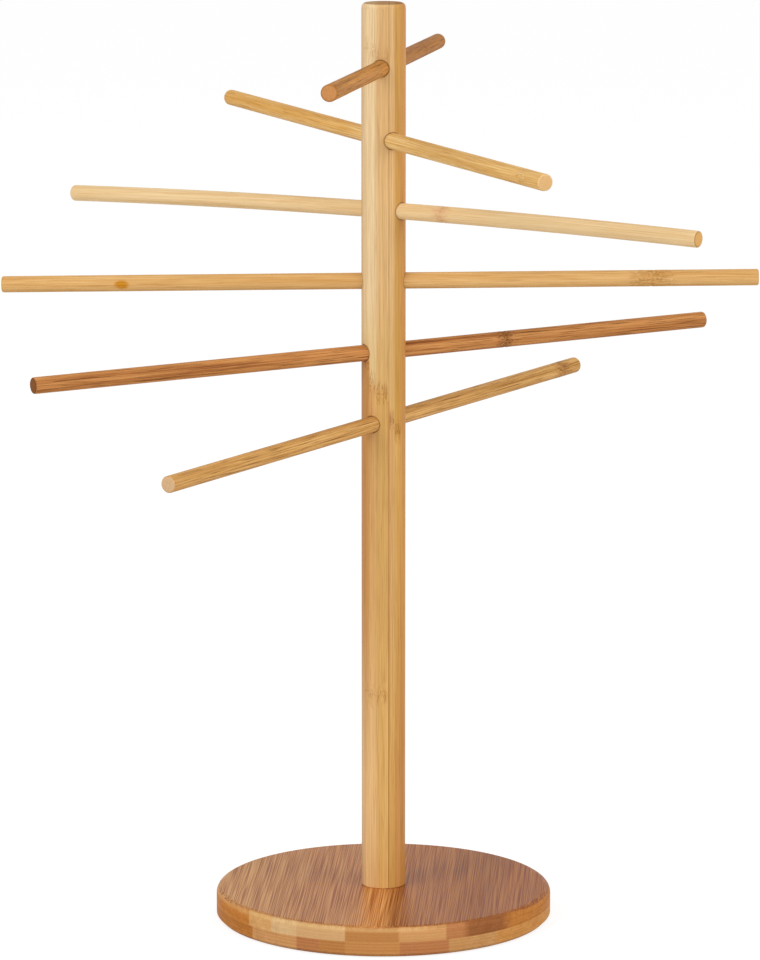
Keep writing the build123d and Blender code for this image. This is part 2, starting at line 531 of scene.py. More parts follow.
# On the first rod the darker back half is painted shade.
OTHER_HALF = {"rod_1": "E8E0D4", "rod_2": "F9EED7"}
SCAR = "E8C868"
HALF_BORDERS = mm(-10, -40)
SCAR_PLACE = mm(-136, -0.3)
SCAR_SIZE = mm(3.7, 2.2)
SCAR_FRAY = mm(3, 0.5)
SCAR_UNEVENNESS = 0.8
SCAR_BORDERS = (1.7, 1.0)
print("Knuckles along the rods in mm:", [look[1] for look in ROD_LOOKS.values()])

# %% [markdown]
# The lathe leaves a rod almost but not quite round, and the ends are sanded to a small round. A knuckle is
# harder than the wood beside it, so it stays a little proud, with a groove where its skin was. Both measure
# about a tenth of a millimetre at most, but they break up the gloss as on a real dowel.

# %% Shape of a rod
ROD_SIDES = 36
RING_SPACING = 5 * MM
END_ROUND = 1.05 * MM
TURNING_SPARE = 0.06 * MM
UNEVENNESS = 0.035 * MM
UNEVEN_ALONG = 30
UNEVEN_AROUND = 0.7
KNUCKLE_SWELLING = 0.05 * MM
SWELLING_LENGTH = 3.2 * MM
KNUCKLE_GROOVE = 0.16 * MM
GROOVE_LENGTH = 0.7 * MM
KNUCKLE_LEAN = 0.8 * MM
KNUCKLE_RING_SPACING = 0.45 * MM
KNUCKLE_RINGS = 8


def rounding(size, steps=4):
    """How far in and how far up the points of a rounded edge lie, from the flat to the side."""
    turns = [0.5 * pi * step / steps for step in range(steps + 1)]
    return [(size * (1 - sin(turn)), size * (1 - cos(turn))) for turn in turns]


def rod_radius_at(along, around, radius, knuckles, seed):
    """How thick the rod is at a place, with what the lathe and the knuckles left."""
    round_it = UNEVEN_AROUND * Vector((0, cos(around), sin(around)))
    spot = Vector((along * UNEVEN_ALONG, 0, 0)) + round_it + Vector((seed, 2 * seed, 0))
    thick = radius - TURNING_SPARE - UNEVENNESS * abs(noise.noise(spot))
    for where in knuckles:
        away = along - where - KNUCKLE_LEAN * sin(around + seed)
        thick += KNUCKLE_SWELLING * exp(-((away / SWELLING_LENGTH) ** 2))
        thick -= KNUCKLE_GROOVE * exp(-((away / GROOVE_LENGTH) ** 2))
    return thick


def rod_stations(length, knuckles):
    """Where the rings lie, and how much smaller each is than the rod, from end to end."""
    half = length / 2
    tips = [(half - inward, less) for inward, less in rounding(END_ROUND)]
    count = round(length / RING_SPACING)
    plain = [-half + END_ROUND + (length - 2 * END_ROUND) * i / count for i in range(1, count)]
    steps = range(-KNUCKLE_RINGS, KNUCKLE_RINGS + 1)
    near = [where + step * KNUCKLE_RING_SPACING for where in knuckles for step in steps]
    plain = sorted(s for s in plain + near if abs(s) < half - 2 * END_ROUND)
    start = [(-s, less) for s, less in reversed(tips)]
    return start + [(s, 0.0) for s in plain] + tips


def turned_rod(name, knuckles, seed):
    """The mesh of a rod, along its own X, the matrix that puts it in its bore, its bend and its radius."""
    length, radius, bend, matrix = rod_line(name)
    rings = []
    for along, less in rod_stations(length, knuckles):
        turn = along / bend if bend else 0.0
        centre = Vector((bend * sin(turn), 0, bend * (cos(turn) - 1)) if bend else (along, 0, 0))
        up = Vector((sin(turn), 0, cos(turn)))
        ring = []
        for i in range(ROD_SIDES):
            around = 2 * pi * i / ROD_SIDES
            thick = rod_radius_at(along, around, radius, knuckles, seed) - less
            ring.append(centre + Vector((0, thick * cos(around), 0)) + up * (thick * sin(around)))
        rings.append(ring)
    return skin(name, rings), matrix, bend, radius


print("A rod has", ROD_SIDES, "sides and its rings lie up to", round(RING_SPACING / MM), "mm apart")

# %% [markdown]
# A tint is laid over the bamboo by multiplying, as a stain is, so that the strands show through it.

# %% What one rod has and the others lack
def rod_tint(name, finish, place):
    """The darker half or the scar that a rod may have, as a tint, or None."""
    x, y, z = finish.parts(place)
    # On the first rod this darker half is painted shade.
    if name in OTHER_HALF:
        return finish.mixed(finish.step(x, *HALF_BORDERS), "FFFFFF", OTHER_HALF[name])
    if name == "rod_4":
        longways = finish.maths("DIVIDE", finish.maths("SUBTRACT", x, SCAR_PLACE[0]), SCAR_SIZE[0])
        upward = finish.maths("DIVIDE", finish.maths("SUBTRACT", z, SCAR_PLACE[1]), SCAR_SIZE[1])
        away = finish.length(finish.vector(longways, upward, 0.0))
        frayed = fibres(finish, place, *SCAR_FRAY, 1.0, 3.0)
        ragged = finish.scaled(frayed, SCAR_UNEVENNESS, away)
        inside = finish.times(finish.step(ragged, *SCAR_BORDERS), finish.step(y, 0.0, -1 * MM))
        return finish.mixed(inside, "FFFFFF", SCAR)
    return None


print("Scar in mm:", [round(2 * size / MM, 1) for size in SCAR_SIZE])

# %% [markdown]
# Now the rods are turned and dressed. The third one's pattern is bent with its arch, so that its strands
# don't run out of its sides. The line of each rod is kept, because the post's bores follow the same lines.
# The first rod has lost most of its lacquer, so it is duller than the others.

# %% Turned rods
ROD_SEED = 11.0
ROD_SHINE = 0.02
DULL_SHINE = 0.006
ROD_ENDS = (0.45, 0.85)

rods = {}
rod_lines = {}
for number, (name, (wood, knuckle, share, reach, streaks)) in enumerate(ROD_LOOKS.items(), 1):
    seed = ROD_SEED * number
    knuckle, reach = mm(knuckle, reach)
    mesh, matrix, bend, radius = turned_rod(name, (knuckle,), seed)
    finish = Finish("bamboo_" + name)
    place = finish.place()
    if bend:
        x, y, z = finish.parts(place)
        sag = finish.maths("DIVIDE", finish.times(x, x), 2 * bend)
        place = finish.vector(x, y, finish.maths("ADD", z, sag))
    facing_end = finish.maths("ABSOLUTE", finish.parts(finish.facing())[0])
    shine = DULL_SHINE if name == "rod_1" else ROD_SHINE
    tint = rod_tint(name, finish, place)
    knuckles = [(knuckle, share, reach)]
    ring = END_RINGS.get(name)
    bamboo(finish, place, facing_end, wood, knuckles, seed, tint, streaks, shine, ROD_ENDS, ring)
    rods[name] = add_piece("turned_" + name, mesh, name, finish, name, matrix)
    rod_lines[name] = (matrix.translation.copy(), matrix.to_3x3().col[0].copy(), radius)
print("Turned rods:", len(rods), "with", len(rods["rod_1"].data.polygons), "faces each")

# %% [markdown]
# ## The post
# The post is glued up from strips about 3 to 6 mm thick, then turned round, so its face shows upright
# stripes, each with its own colour and its own knuckles. Above, the strips on the left are pale cream.
# Past a knuckle they turn golden, strip by strip, because the next length of the culm was darker. The
# strip on the right is orange-brown all the way. Separate strips could be modelled and glued, but they
# can't be told from one another once they are turned, so they are colour in one solid. A knuckle of the
# post is given as the number of its strip, its height in millimetres and its strength.

# %% Strips of the post
POST_RADIUS = 11.7 * MM
POST_STRIP_EDGES = mm(-10.2, -7.4, -3.8, 2.5, 3.1, 5.8, 9.0)
POST_STRIP_BLUR = mm(1.0, 0.6, 1.2, 0.1, 0.1, 0.5, 1.6)
POST_HIGH = tones("oat", "cream", "cream", "straw", "seam", "straw", "mustard", "dark_gold")
POST_MIDDLE = tones("bark", "biscuit", "gold", "amber", "dark_seam", "fawn", "corn", "russet")
POST_LOW = tones("oat", "pale_gold", "pale_gold", "sand", "dark_seam", "corn", "biscuit", "russet")
POST_DEEPER = "F5F1DE"
POST_CHANGES = mm(308, 308, 291, 288, 280, 276, 262, 262)
POST_KNUCKLES = (
    (1, 468, 0.5), (2, 466, 0.5), (3, 463, 0.5),
    (1, 302, 0.8), (2, 292, 0.8), (3, 286, 0.8), (5, 271, 0.8), (6, 265, 0.8),
    (1, 125, 0.5), (2, 123, 0.6), (3, 123, 0.6),
)
TALLEST = 500 * MM
SHARP_BORDER = 0.1 * MM


def across_strips(finish, across, edges, looks, reach, blur=None):
    """One colour or number for each strip, along a distance across them, with soft borders."""
    share = finish.scaled(across, 0.5 / reach, 0.5)
    stops = []
    for edge, before, after, soft in zip(edges, looks, looks[1:], blur or [SHARP_BORDER] * len(edges)):
        stops.append((0.5 + 0.5 * (edge - soft) / reach, before))
        stops.append((0.5 + 0.5 * (edge + soft) / reach, after))
    return finish.ramp(share, stops)


print("Strips of the post in mm:", [round(edge / MM, 1) for edge in POST_STRIP_EDGES])

# %% [markdown]
# Each rod rubs the rim of its bore as it slides, which rounds and darkens it, and part of the rim's darker
# tone is painted shade where the rod enters the post. Inside the bore hardly any light gets past the rod,
# and that shade is painted on the bore's wall as a dark tone. Both follow from how far a point is from the
# rod's own line.

# %% Rims of the bores
RIM_BORDERS = mm(0.9, 0.2)
WALL_BORDERS = mm(0.26, 0.18)


def near_bores(finish, place):
    """How close the surface is to the rim of a bore, and whether it is the bore's own wall, from 0 to 1.
    These are the masks of the rim's wear and painted shade and of the painted shade in the bore.
    """
    close, wall = 0.0, 0.0
    for middle, aim, radius in rod_lines.values():
        away = finish.vectors("SUBTRACT", place, tuple(middle))
        reach = finish.length(finish.vectors("CROSS_PRODUCT", away, tuple(aim)))
        rim = finish.step(reach, *(radius + past for past in RIM_BORDERS))
        close = finish.maths("MAXIMUM", close, rim)
        inner = finish.step(reach, *(radius + past for past in WALL_BORDERS))
        wall = finish.maths("MAXIMUM", wall, inner)
    return close, wall


print("Bores:", len(rod_lines))

# %% [markdown]
# The plain post already has all its bores, so its shape is taken over. Only its top, a plain chamfer,
# becomes the round shoulder that sandpaper leaves: the mesh is cut off below it, and rings are drawn up
# from the cut. A bevel modifier would have caught the edges of the bores as well.

# %% Round top of the post
SHOULDER = 2.6 * MM
SHOULDER_STEPS = 6


def round_top(shell):
    """Cuts the post off below its chamfer and draws it up again as a round shoulder. Returns the level."""
    level = max(v.co.z for v in shell.verts) - SHOULDER
    everything = shell.verts[:] + shell.edges[:] + shell.faces[:]
    cut = {"plane_co": (0, 0, level), "plane_no": (0, 0, 1), "clear_outer": True}
    bmesh.ops.bisect_plane(shell, geom=everything, **cut)
    rim = [e for e in shell.edges if e.is_boundary]
    for step in range(1, SHOULDER_STEPS + 1):
        turn = 0.5 * pi * step / SHOULDER_STEPS
        reach = POST_RADIUS - SHOULDER * (1 - cos(turn))
        rise = Vector((0, 0, level + SHOULDER * sin(turn)))
        made = bmesh.ops.extrude_edge_only(shell, edges=rim)["geom"]
        for v in (g for g in made if isinstance(g, bmesh.types.BMVert)):
            v.co = v.co.xy.normalized().to_3d() * reach + rise
        rim = [g for g in made if isinstance(g, bmesh.types.BMEdge)]
    bmesh.ops.contextual_create(shell, geom=rim)
    bmesh.ops.recalc_face_normals(shell, faces=shell.faces)
    return level


print("Shoulder of the post in mm:", round(SHOULDER / MM, 1))

# %% [markdown]
# The walls of the post and its bores are flat facets in the mesh, while the real ones are round. Smooth
# shading alone would smear the light over the edges of the bores, so each corner of each facet is told its
# true direction, which follows from the post's axis, the shoulder or the bore's own line.

# %% True directions of the walls
NEAR_SHOULDER = 0.01 * MM
NEAR_WALL = 0.02 * MM
LEVEL = 0.999
MOSTLY = 0.9
BORE_REACH = 1.2
WELD = 0.001 * MM


def true_direction(point, facet, level):
    """The way the real, round surface faces at a corner of a flat facet."""
    out = Vector((point.x, point.y, 0))
    if point.z > level - NEAR_SHOULDER and abs(facet.z) < LEVEL:
        rise = max(0.0, min(1.0, (point.z - level) / SHOULDER))
        return out.normalized() * sqrt(1 - rise * rise) + Vector((0, 0, rise))
    if abs(out.length - POST_RADIUS) < NEAR_WALL and facet.dot(out.normalized()) > MOSTLY:
        return out.normalized()
    for middle, aim, radius in rod_lines.values():
        away = point - middle
        away = away - aim * away.dot(aim)
        if away.length < BORE_REACH * radius and facet.dot(away.normalized()) < -MOSTLY:
            return -away.normalized()
    return facet


def post_mesh(plain):
    """The plain post with its bores, under a round top, with the true directions of its walls."""
    shell = bmesh.new()
    shell.from_mesh(plain)
    bmesh.ops.remove_doubles(shell, verts=shell.verts, dist=WELD)
    level = round_top(shell)
    mesh = bpy.data.meshes.new("glued_post")
    shell.to_mesh(mesh)
    shell.free()
    mesh.polygons.foreach_set("use_smooth", [True] * len(mesh.polygons))
    directions = []
    for face in mesh.polygons:
        for corner in face.loop_indices:
            point = mesh.vertices[mesh.loops[corner].vertex_index].co
            directions.append(true_direction(point, face.normal, level))
    mesh.normals_split_custom_set(directions)
    return mesh


post_shape = post_mesh(frame["nodes"]["post"].data)
print("Post:", len(post_shape.polygons), "faces")

# %% [markdown]
# The post's finish lays three rows of strip tones over the bamboo, one for the top, one for the middle and
# one for the foot. Where a strip changes from the top row to the middle one, its border is frayed, since
# the colour follows the strands. Each knuckle shows in its own strip only.

# %% Post finish
POST_FRAY = mm(0.8, 0.8, 14)
CHANGE_BLUR = 4 * MM
LOW_BORDERS = mm(190, 60)
DEEPER_BORDERS = mm(350, 290)
# The rim's tone is partly wear and partly painted shade; the tone of the bore wall is painted shade.
RUBBED_AND_SHADED_RIM = ("9A6A3C", 0.4)
PAINTED_BORE_SHADE = ("5C3A1E", 0.6)
STRIP_INSET = 0.2 * MM
POST_WOOD = ("E8E0D6", "F6F2EC", "FFFFFF", "B8A68E", "A07C58", "E4D0BC")
POST_STREAKS = 0.24
POST_SHINE = 0.08

finish = Finish("bamboo_post")
place = finish.place()
x, y, z = finish.parts(place)
high, middle, low = (
    across_strips(finish, x, POST_STRIP_EDGES, looks, POST_RADIUS, POST_STRIP_BLUR)
    for looks in (POST_HIGH, POST_MIDDLE, POST_LOW)
)
changes = across_strips(finish, x, POST_STRIP_EDGES, [c / TALLEST for c in POST_CHANGES], POST_RADIUS)
frayed = finish.grain(place, POST_FRAY, 2.0, 5.0)
above = finish.maths("SUBTRACT", z, finish.times(changes, TALLEST))
above = finish.scaled(finish.maths("SUBTRACT", frayed, 0.5), POST_FRAY[2], above)
tint = finish.mixed(finish.step(z, *LOW_BORDERS), middle, low)
high = finish.mixed(finish.step(z, *DEEPER_BORDERS), high, POST_DEEPER, "MULTIPLY")
tint = finish.mixed(finish.step(above, -CHANGE_BLUR, CHANGE_BLUR), tint, high)
# Wear and painted shade on the rims of the bores, and painted shade inside them.
for where, (tone, share) in zip(near_bores(finish, place), (RUBBED_AND_SHADED_RIM, PAINTED_BORE_SHADE)):
    tint = finish.mixed(finish.times(where, share), tint, tone)
facing_end = finish.maths("ABSOLUTE", finish.parts(finish.facing())[2])
sides = [-POST_RADIUS, *POST_STRIP_EDGES, POST_RADIUS]
knuckles = []
for strip, where, share in POST_KNUCKLES:
    left, right = sides[strip], sides[strip + 1]
    past_left = finish.step(x, left, left + STRIP_INSET)
    before_right = finish.step(x, right, right - STRIP_INSET)
    inside = finish.times(past_left, before_right)
    knuckles.append((where * MM, finish.times(inside, share), KNUCKLE_REACH))
upright = finish.vector(z, x, y)
bamboo(finish, upright, facing_end, POST_WOOD, knuckles, 3.0, tint, POST_STREAKS, POST_SHINE)
add_piece("glued_post", post_shape, "stand", finish, "post")
print("Post dressed with", len(knuckles), "knuckles in its strips")

# %% [markdown]
# ## The base
# The base is turned from two boards glued face to face, each made of strips 10 to 30 mm wide. On the
# rim the strips end, so the front and back show end grain in blocks of different browns, and the sides
# show long grain. The top is a darker brown with fine lines, under a satin lacquer that mirrors the post
# faintly. The bright orange strip across the middle of the top, under and in front of the post, is a
# painted reflection of the post, laid in as one more strip of the top's tones. The strips lie turned by
# three degrees from the front, as nobody lines them up with the rods. The strip edges are given across
# the strips, and each row of tones has one more tone than edges.

# %% Strips of the base
BASE_RADIUS = 90 * MM
LAYER_LEVEL = 8.5 * MM
STRANDS_LEAN = radians(-3.3)
BASE_UPPER_EDGES = mm(-67.6, -54.9, -41.1, -15.3, 13.3, 37.4, 48.0, 68.5)
BASE_UPPER_BLUR = mm(0.1, 0.1, 0.1, 0.1, 0.1, 0.1, 2, 3)
BASE_UPPER = tones("orange", "honey", "chaff", "pale_tan", "toast", "tan", "ginger", "umber", "caramel")
BASE_LOWER_EDGES = mm(-65.6, -41.1, -29.2, -15.3, 13.7, 38.9, 63.3)
BASE_LOWER = tones("caramel", "tan", "ginger", "toast", "almond", "ginger", "dull_tan", "biscuit")
# The fifth tone of the top, F0B06C between -9 and 6 mm across, is a painted reflection of the post over the
# wood.
BASE_TOP_WITH_REFLECTION = ("D6A468", "D4A066", "D09A60", "CC945C", "F0B06C", "BA7C42", "B27438", "B27436", "B6763A")
TOP_AND_REFLECTION_EDGES = mm(-68, -55, -41, -9, 6, 37.5, 48, 64)
TOP_AND_REFLECTION_BLUR = mm(2, 2, 2, 4, 4, 2, 2, 2)
TOP_LINE = mm(60, 0.36)
print("Strips in the base's upper and lower board:", len(BASE_UPPER), "and", len(BASE_LOWER))

# %% [markdown]
# The plain base has its rounding and its seats already, so it is only dressed. Its top and its rim are
# told apart by the way they face. The tool leaves faint rings round the rim. A pale band along the front
# of the rounding, fading out toward the right, is a painted highlight of the lamp at the left. At the sides
# and behind, the stain of the top reaches a little over the rounding. The rim drinks its lacquer and stays
# duller than the top.

# %% Base finish
TOP_LINES = [(0.38, "BC9474"), (0.5, "E4D6C6"), (0.62, "F8F6F4")]
TURNING_SIZE = mm(400, 400, 0.45)
TURNING_LINES = [(0.4, "F0E6DC"), (0.6, "FFFFFF")]
# Tone and share of the pale band on the rounding, a painted highlight of the left lamp.
PAINTED_HIGHLIGHT = ("F4CE92", 0.3)
HIGHLIGHT_FROM = (0.15, 0.5)
HIGHLIGHT_TO = (0.95, 0.7)
HIGHLIGHT_BORDERS = mm(34, 20)
ASIDE_BORDERS = mm(-60, -30)
ASIDE_SHARE = 0.25
TOP_BORDERS = (0.80, 0.97)
BASE_WOOD = ("E6DED4", "F4EEE6", "FFFFFF", "F6F0E8", "C4A88C", "E0D0C0")
BASE_STREAKS = 0.3
RIM_SHINE = 0.01
TOP_EXTRA_SHINE = 0.09

base = frame["nodes"]["base"]
finish = Finish("bamboo_base")
straight = finish.turned(finish.place(), STRANDS_LEAN)
across, along, level = finish.parts(straight)
facing = finish.turned(finish.facing(), STRANDS_LEAN)
upper = across_strips(finish, across, BASE_UPPER_EDGES, BASE_UPPER, BASE_RADIUS, BASE_UPPER_BLUR)
lower = across_strips(finish, across, BASE_LOWER_EDGES, BASE_LOWER, BASE_RADIUS)
glue = finish.step(level, LAYER_LEVEL - SHARP_BORDER, LAYER_LEVEL + SHARP_BORDER)
rim = finish.mixed(glue, lower, upper)
facing_up = finish.parts(facing)[2]
# The top's strips, with the bright middle one painted as the post's reflection.
top = across_strips(finish, across, TOP_AND_REFLECTION_EDGES, BASE_TOP_WITH_REFLECTION, BASE_RADIUS, TOP_AND_REFLECTION_BLUR)
rows = finish.vector(along, across, level)
top_lines = fibres(finish, rows, *TOP_LINE, 0.0, 23.0)
top = finish.mixed(1.0, top, finish.ramp(top_lines, TOP_LINES), "MULTIPLY")
turning = finish.grain(rows, TURNING_SIZE, 2.0, 29.0)
rim = finish.mixed(1.0, rim, finish.ramp(turning, TURNING_LINES), "MULTIPLY")
# Painted highlight: a pale band on the rounding that fades out toward the right.
painted_highlight = finish.times(finish.step(facing_up, *HIGHLIGHT_FROM), finish.step(facing_up, *HIGHLIGHT_TO))
painted_highlight = finish.times(painted_highlight, finish.step(across, *HIGHLIGHT_BORDERS))
rim = finish.mixed(finish.times(painted_highlight, PAINTED_HIGHLIGHT[1]), rim, PAINTED_HIGHLIGHT[0])
aside = finish.step(along, *ASIDE_BORDERS)
on_top = finish.step(finish.scaled(aside, ASIDE_SHARE, facing_up), *TOP_BORDERS)
tint = finish.mixed(on_top, rim, top)
shine = finish.scaled(on_top, TOP_EXTRA_SHINE, RIM_SHINE)
facing_end = finish.maths("ABSOLUTE", finish.parts(facing)[1])
bamboo(finish, rows, facing_end, BASE_WOOD, (), 9.0, tint, BASE_STREAKS, shine)
dress(base, finish)
print("The base keeps its plain shape:", len(base.data.polygons), "faces")

# %% [markdown]
# ## The fittings underneath
# Four rubber pads and a wider one that covers the screw keep the rack from sliding. They are moulded, with
# rounded edges and a ring pressed into the sole, so that they grip like a suction cup.

# %% Rubber
SPECKLE = mm(0.5, 0.5, 0.5)
SPECKLE_RELIEF = 0.04 * MM

rubber = Finish("rubber")
speckle = rubber.grain(rubber.place(), SPECKLE, 3.0)
rubber.set("Base Color", rubber.ramp(speckle, [(0.3, "191919"), (0.7, "2A2A2A")]))
rubber.set("Roughness", rubber.scaled(speckle, 0.2, 0.6))
rubber.set("Normal", rubber.relief(speckle, SPECKLE_RELIEF))
print("Finish:", rubber.material.name)

# %% [markdown]
# A pad is round, so it too is a stack of rings, drawn from one profile that runs from the middle of the
# sole out to the rim and back over the top.

# %% Pads
PAD_SIDES = 64
PAD_ROUND = 0.3 * MM
PAD_GROOVE = 0.15 * MM
PAD_HEART = 0.2
PAD_SOLE = ((PAD_HEART, 0), (0.62, 0), (0.66, PAD_GROOVE), (0.74, PAD_GROOVE), (0.78, 0), (0.9, 0))


def moulded_pad(name):
    """A pad with rounded edges and a shallow ring pressed into its underside."""
    low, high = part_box(name)
    centre, radius, thick = (low + high) / 2, (high.x - low.x) / 2, high.z - low.z
    sole = [(share * (radius - PAD_ROUND), z) for share, z in PAD_SOLE]
    edge = [(radius - inward, up) for inward, up in rounding(PAD_ROUND)]
    upper_edge = [(r, thick - z) for r, z in reversed(edge)]
    profile = sole + edge + upper_edge + [(PAD_HEART * radius, thick)]
    rings = []
    for r, z in profile:
        turns = [2 * pi * i / PAD_SIDES for i in range(PAD_SIDES)]
        rings.append([Vector((centre.x + r * cos(t), centre.y + r * sin(t), low.z + z)) for t in turns])
    return add_piece("moulded_" + name, skin(name, rings), "stand", rubber, name)


pads = [moulded_pad(name) for name in frame["nodes"] if "pad" in name]
print("Pads:", [pad.name for pad in pads])

# %% [markdown]
# A wide-headed screw pulls the post down on the base, and a flanged insert in the post's foot gives it
# metal to bite in, because end grain holds no thread for long. Both are hidden in use and are seen only
# when the rack is taken apart. Both were turned, so their finish has fine rings round the axis.

# %% Steel and brass
TOOL_MARKS = (0.12 * MM, 0.3 * MM, 1.0)
TOOL_MARK_RELIEF = 0.01 * MM
DULL_SPOTS = mm(2, 2, 2)


def metal(name, codes, roughness, seed):
    """A turned metal, with fine rings round Z and a few dull spots."""
    finish = Finish(name)
    x, y, z = finish.parts(finish.place())
    out = finish.length(finish.vector(x, y, 0.0))
    rings = finish.grain(finish.vector(out, z, 0.0), TOOL_MARKS, 2.0, seed)
    spots = finish.grain(finish.place(), DULL_SPOTS, 3.0, seed)
    finish.set("Base Color", finish.ramp(spots, [(0.3, codes[0]), (0.7, codes[1])]))
    finish.set("Metallic", 1.0)
    rough = finish.scaled(rings, 0.15, finish.scaled(spots, 0.1, roughness))
    finish.set("Roughness", rough)
    finish.set("Normal", finish.relief(rings, TOOL_MARK_RELIEF))
    return finish


steel = metal("steel", ("B4B6B8", "CBCDCF"), 0.25, 2.0)
brass = metal("brass", ("C8A45C", "DDBE7A"), 0.25, 6.0)
print("Finishes:", steel.material.name, "and", brass.material.name)

# %% [markdown]
# A thread is a ridge that climbs by one pitch in each turn, so the radius follows from the height and the
# angle alone, and rings that lie close together take its shape. Sweeping a profile along a helix is the
# other way, but the threads would then need joining to the shank. The screw's is the common 6 mm one.

# %% Threads
SCREW_SIDES = 48
THREAD_CREST = 2.97 * MM
THREAD_PITCH = 1.0 * MM
RINGS_IN_A_TURN = 8
SCREW_THREAD = {"crest": THREAD_CREST, "depth": 0.55 * MM, "pitch": THREAD_PITCH, "flat": 0.15}


def ring_at(z, radius_at):
    """A ring at one height, about the post's axis. The radius may change round it."""
    turns = [2 * pi * i / SCREW_SIDES for i in range(SCREW_SIDES)]
    return [Vector((radius_at(t) * cos(t), radius_at(t) * sin(t), z)) for t in turns]


def round_rings(*corners):
    """Plain rings about the post's axis, one for each pair of a radius and a height."""
    return [ring_at(z, lambda turn, radius=radius: radius) for radius, z in corners]


def thread_ring(z, crest, depth, pitch, flat, limit=1.0, room=0.0):
    """A ring of a thread. Flat is the crest's share of the pitch, limit tapers it and room widens it."""

    def radius_at(turn):
        climb = (z / pitch - turn / (2 * pi)) % 1.0
        valley = (abs(2 * climb - 1) - flat) / (1 - 2 * flat)
        return min(limit, crest - depth * max(0.0, min(1.0, valley))) + room

    return ring_at(z, radius_at)


def levels(start, end, step):
    """Heights from start to end, about a step apart."""
    count = round((end - start) / step)
    return [start + (end - start) * i / count for i in range(count + 1)]


print("Thread pitch in mm:", round(THREAD_PITCH / MM, 1))

# %% [markdown]
# The screw has a wide flat head with a hexagon socket, so that it presses on much bamboo and a common key
# turns it. Its rings run from the socket's floor out over the head and up the thread to the tip.

# %% Screw
SCREW_HEAD = 2.6 * MM
SOCKET_FLATS = 4.0 * MM
SOCKET_DEPTH = 2.0 * MM
SOCKET_RIM = 0.8 * MM
HEAD_ROUND = 0.5 * MM
SMALL_EASE = 0.2 * MM
NECK = 3.3 * MM
SHANK = 2.9 * MM
TIP = 2.1 * MM
TIP_TAPER = 0.8 * MM
THREAD_START = 0.1 * MM
NECK_SLOPE = 0.4 * MM
FIRST_THREAD = 0.6 * MM


def hexagon(half_flats):
    """How far a hexagon reaches at each turn."""
    return lambda turn: half_flats / cos((turn + pi / 6) % (pi / 3) - pi / 6)


def threaded_screw(name):
    """The mesh of the screw."""
    low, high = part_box(name)
    bottom, top, radius = low.z, high.z, high.x
    neck = bottom + SCREW_HEAD
    floor_level = bottom + SOCKET_DEPTH
    flats = SOCKET_FLATS / 2
    rings = [ring_at(floor_level, hexagon(0.1 * flats)), ring_at(floor_level, hexagon(flats))]
    rings.append(ring_at(bottom + SMALL_EASE, hexagon(flats)))
    rings.append(ring_at(bottom, hexagon(flats + SMALL_EASE)))
    rings += round_rings((flats + SOCKET_RIM, bottom))
    rings += round_rings(*((radius - inward, bottom + up) for inward, up in rounding(HEAD_ROUND)))
    rings += round_rings((radius, neck - SMALL_EASE), (radius - SMALL_EASE, neck))
    rings += round_rings((NECK, neck), (SHANK, neck + NECK_SLOPE))
    for z in levels(neck + FIRST_THREAD, top - THREAD_START, THREAD_PITCH / RINGS_IN_A_TURN):
        taper = THREAD_CREST - max(0.0, z - (top - TIP_TAPER))
        rings.append(thread_ring(z, **SCREW_THREAD, limit=taper))
    return skin("threaded_screw", rings + round_rings((TIP, top)))


screw = add_piece("threaded_screw", threaded_screw("base_screw"), "stand", steel, "base_screw")
print("Screw:", len(screw.data.polygons), "faces")

# %% [markdown]
# The insert has a coarse thread outside, which cuts its own way into the wood, and the screw's thread
# inside with a hair of room, so that the two mesh. Its rings close into a loop instead of being filled.

# %% Insert
THREAD_ROOM = 0.06 * MM
INSERT_BODY = 4.97 * MM
INSERT_FLANGE = 1.2 * MM
INSERT_TAPER = 1.2 * MM
WOOD_THREAD_START = 0.3 * MM
WOOD_RINGS_IN_A_TURN = 10
WOOD_THREAD = {"crest": INSERT_BODY, "depth": 0.6 * MM, "pitch": 2.6 * MM, "flat": 0.08}


def threaded_insert(name):
    """The insert, up its wood thread on the outside and down the screw's thread on the inside."""
    low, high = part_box(name)
    bottom, top, flange = low.z, high.z, high.x
    shoulder = bottom + INSERT_FLANGE
    root = INSERT_BODY - WOOD_THREAD["depth"]
    inside = THREAD_CREST + THREAD_ROOM
    rings = round_rings((flange - SMALL_EASE, bottom), (flange, bottom + SMALL_EASE))
    rings += round_rings((flange, shoulder - SMALL_EASE), (flange - SMALL_EASE, shoulder), (root, shoulder))
    start, end = shoulder + WOOD_THREAD_START, top - WOOD_THREAD_START
    for z in levels(start, end, WOOD_THREAD["pitch"] / WOOD_RINGS_IN_A_TURN):
        taper = INSERT_BODY - 0.5 * max(0.0, z - (top - INSERT_TAPER))
        rings.append(thread_ring(z, **WOOD_THREAD, limit=taper))
    rings += round_rings((root, top), (inside, top))
    for z in reversed(levels(bottom + THREAD_START, top - THREAD_START, THREAD_PITCH / RINGS_IN_A_TURN)):
        rings.append(thread_ring(z, **SCREW_THREAD, room=THREAD_ROOM))
    return skin("threaded_insert", rings + round_rings((inside, bottom)), hollow=True)


insert = add_piece("threaded_insert", threaded_insert("post_insert"), "stand", brass, "post_insert")
print("Insert:", len(insert.data.polygons), "faces")

# %% [markdown]
# ## Floor and light
# The rack stands on a pale floor in soft light, as in a catalogue. The sky lights it evenly, a wide soft
# lamp at the upper left shapes it, and a weaker one at the right keeps the shadows open. What the camera
# sees of the floor and the sky is plain white, so that only the soft shadow under the base remains.

# %% Floor
FLOOR_REACH = 20.0
FLOOR_DROP = 0.02 * MM
FLOOR_GLOW = 0.8
FLOOR_SHADE = 0.30
FLOOR_BOUNCE = 0.8

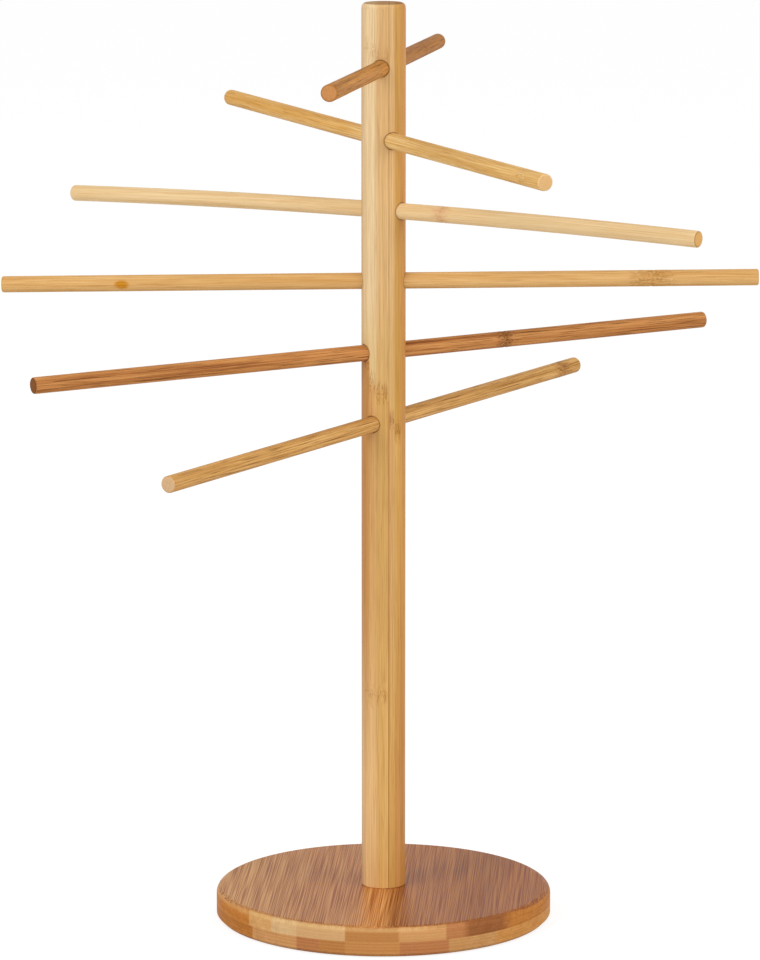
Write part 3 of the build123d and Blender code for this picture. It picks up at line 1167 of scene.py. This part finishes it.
floor_mesh = bpy.data.meshes.new("floor")
corners = [(x, y, 0.0) for x, y in ((-1, -1), (1, -1), (1, 1), (-1, 1))]
floor_mesh.from_pydata([tuple(c * FLOOR_REACH for c in corner) for corner in corners], [], [(0, 1, 2, 3)])
floor = put_in_scene("floor", floor_mesh)
floor.location.z = -FLOOR_DROP
floor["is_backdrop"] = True


def seen_directly(finish):
    """1 for rays from the camera or from glossy and clear surfaces, and 0 for all other light."""
    rays = finish.node("LightPath", {}).node
    seen = finish.maths("MAXIMUM", rays.outputs["Is Camera Ray"], rays.outputs["Is Glossy Ray"])
    return finish.maths("MAXIMUM", seen, rays.outputs["Is Transmission Ray"])


paper = Finish("floor")
seen = seen_directly(paper)
bounce, shade = ((g, g, g, 1.0) for g in (FLOOR_BOUNCE, FLOOR_SHADE))
paper.set("Base Color", paper.mixed(seen, bounce, shade))
paper.set("Roughness", 0.9)
paper.set("Specular IOR Level", 0.0)
paper.set("Emission Color", "FFFFFF")
paper.set("Emission Strength", paper.times(seen, FLOOR_GLOW))
dress(floor, paper)
print("Floor reaches", FLOOR_REACH, "metres each way")

# %% [markdown]
# The sky is even, so it could be one plain colour. But what the camera sees of it has to be white, while
# that much light would wash out the pale bamboo. So the kind of ray chooses: a ray from the camera or from
# a glossy surface finds white, and all others find a dimmer sky.

# %% Sky
SKY_STRENGTH = 0.62

sky = Finish("sky", bpy.data.worlds, "Background")
limits = {"Value": seen_directly(sky), "To Min": SKY_STRENGTH, "To Max": 1.0}
sky.set("Strength", sky.node("MapRange", limits))
sky.set("Color", "FFFFFF")
bpy.context.scene.world = sky.material
print("Sky strength for the object:", SKY_STRENGTH)

# %% [markdown]
# Two wide lamps do the shaping. Together with the sky they light a surface at about the level at which its
# colour shows as it was picked, which was measured on a grey card in the rack's place.

# %% Lamps
LAMPS_AIM = Vector((0, 0, 0.25))


def soft_lamp(name, spot, size, watts):
    """A wide square lamp that points at the middle of the rack."""
    bulb = bpy.data.lights.new(name, "AREA")
    bulb.size, bulb.energy = size, watts
    lamp = put_in_scene(name, bulb)
    lamp.location = spot
    lamp.rotation_euler = (LAMPS_AIM - Vector(spot)).to_track_quat("-Z", "Y").to_euler()


soft_lamp("window_left", spot=(-1.9, -1.7, 2.0), size=1.8, watts=38.0)
soft_lamp("reflector_right", spot=(2.2, -1.4, 1.2), size=1.6, watts=29.0)
print("Lamps:", [lamp.name for lamp in bpy.data.lights])

# %% [markdown]
# ## Size of the rack
# The box round the plain construction, kept at the start, and the box round the finished rack are written
# down side by side.

# %% Size
finished_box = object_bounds()
for title, box in (("Construction", construction_box), ("Finished", finished_box)):
    print(title, "box in millimetres:", [[round(v / MM, 2) for v in corner] for corner in box])
